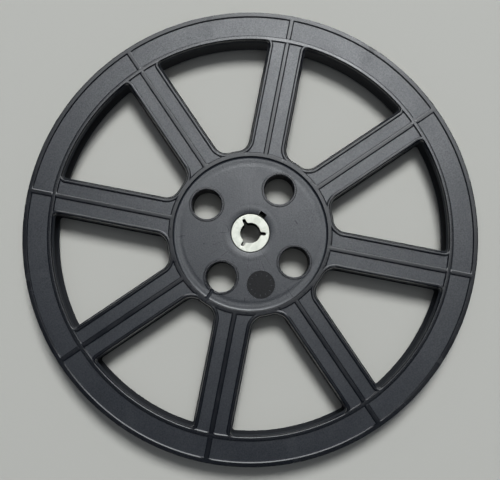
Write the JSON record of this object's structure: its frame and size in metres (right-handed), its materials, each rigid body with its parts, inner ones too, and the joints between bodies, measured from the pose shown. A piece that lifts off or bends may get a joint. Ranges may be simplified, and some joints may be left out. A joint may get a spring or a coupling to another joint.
{
  "type": "film reel",
  "caption": "Flat cine film reel: two spoked black plastic flanges on a hollow drum, with steel centre plates that take a keyed spindle.",
  "frame": {"origin": "on the spindle axis, in the plane of the rear flange's rib tops, which the reel lies on", "axes": "+Z along the spindle axis towards the front flange; +X from the axis through the key notch"},
  "size_m": [0.1784, 0.1784, 0.0132],
  "materials": {
    "black_plastic": "satin",
    "plate_steel": "satin"
  },
  "bodies": {
    "root": {"front_flange": "black_plastic", "rear_flange": "black_plastic", "winding_drum": "black_plastic", "front_centre_plate": "plate_steel", "rear_centre_plate": "plate_steel"}
  },
  "joints": []
}
